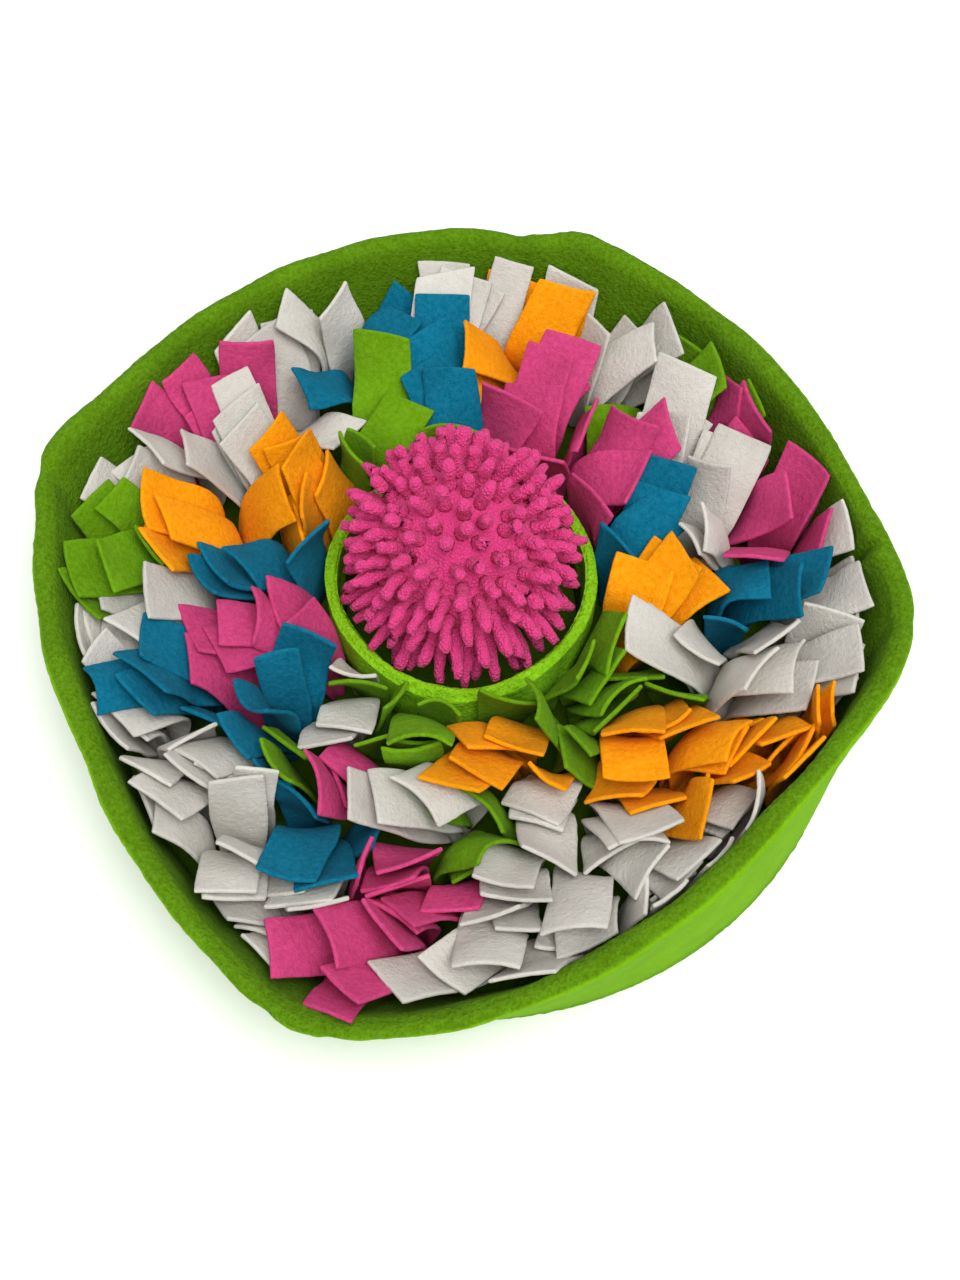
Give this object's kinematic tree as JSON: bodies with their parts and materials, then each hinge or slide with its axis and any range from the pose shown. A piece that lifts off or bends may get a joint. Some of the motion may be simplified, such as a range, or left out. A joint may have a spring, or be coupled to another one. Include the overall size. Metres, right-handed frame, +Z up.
{
  "type": "snuffle mat",
  "caption": "Round fleece snuffle mat: a flared padded wall around a pile of knotted fleece strips, and a cup that holds a chenille noodle ball.",
  "frame": {"origin": "on the floor, at the centre of the round base", "axes": "+Z up from the floor; -Y towards the picture's viewer; +X to the right in the picture"},
  "size_m": [0.4486, 0.4676, 0.1333],
  "materials": {
    "green_fleece": "brushed polyester fleece, matt",
    "white_fleece": "brushed polyester fleece, matt",
    "pink_fleece": "brushed polyester fleece, matt",
    "teal_fleece": "brushed polyester fleece, matt",
    "orange_fleece": "brushed polyester fleece, matt",
    "pink_chenille": "microfibre chenille, matt"
  },
  "bodies": {
    "root": {"ball": "pink_chenille", "base": "green_fleece", "cup": "green_fleece", "tuft_green_01": "green_fleece", "tuft_green_02": "green_fleece", "tuft_green_03": "green_fleece", "tuft_green_04": "green_fleece", "tuft_green_05": "green_fleece", "tuft_orange_01": "orange_fleece", "tuft_orange_02": "orange_fleece", "tuft_orange_03": "orange_fleece", "tuft_orange_04": "orange_fleece", "tuft_orange_05": "orange_fleece", "tuft_orange_06": "orange_fleece", "tuft_orange_07": "orange_fleece", "tuft_orange_08": "orange_fleece", "tuft_pink_01": "pink_fleece", "tuft_pink_02": "pink_fleece", "tuft_pink_03": "pink_fleece", "tuft_pink_04": "pink_fleece", "tuft_pink_05": "pink_fleece", "tuft_pink_06": "pink_fleece", "tuft_pink_07": "pink_fleece", "tuft_pink_08": "pink_fleece", "tuft_pink_09": "pink_fleece", "tuft_teal_01": "teal_fleece", "tuft_teal_02": "teal_fleece", "tuft_teal_03": "teal_fleece", "tuft_teal_04": "teal_fleece", "tuft_teal_05": "teal_fleece", "tuft_teal_06": "teal_fleece", "tuft_teal_07": "teal_fleece", "tuft_teal_08": "teal_fleece", "tuft_white_01": "white_fleece", "tuft_white_02": "white_fleece", "tuft_white_03": "white_fleece", "tuft_white_04": "white_fleece", "tuft_white_05": "white_fleece", "tuft_white_06": "white_fleece", "tuft_white_07": "white_fleece", "tuft_white_08": "white_fleece", "tuft_white_09": "white_fleece", "tuft_white_10": "white_fleece", "tuft_white_11": "white_fleece", "tuft_white_12": "white_fleece", "tuft_white_13": "white_fleece", "tuft_white_14": "white_fleece", "tuft_white_15": "white_fleece", "tuft_white_16": "white_fleece", "tuft_white_17": "white_fleece", "tuft_white_18": "white_fleece", "tuft_white_19": "white_fleece", "tuft_white_20": "white_fleece", "tuft_white_21": "white_fleece", "tuft_white_22": "white_fleece", "tuft_white_23": "white_fleece", "tuft_white_24": "white_fleece", "tuft_white_25": "white_fleece", "tuft_white_26": "white_fleece", "wall": "green_fleece"}
  },
  "joints": []
}
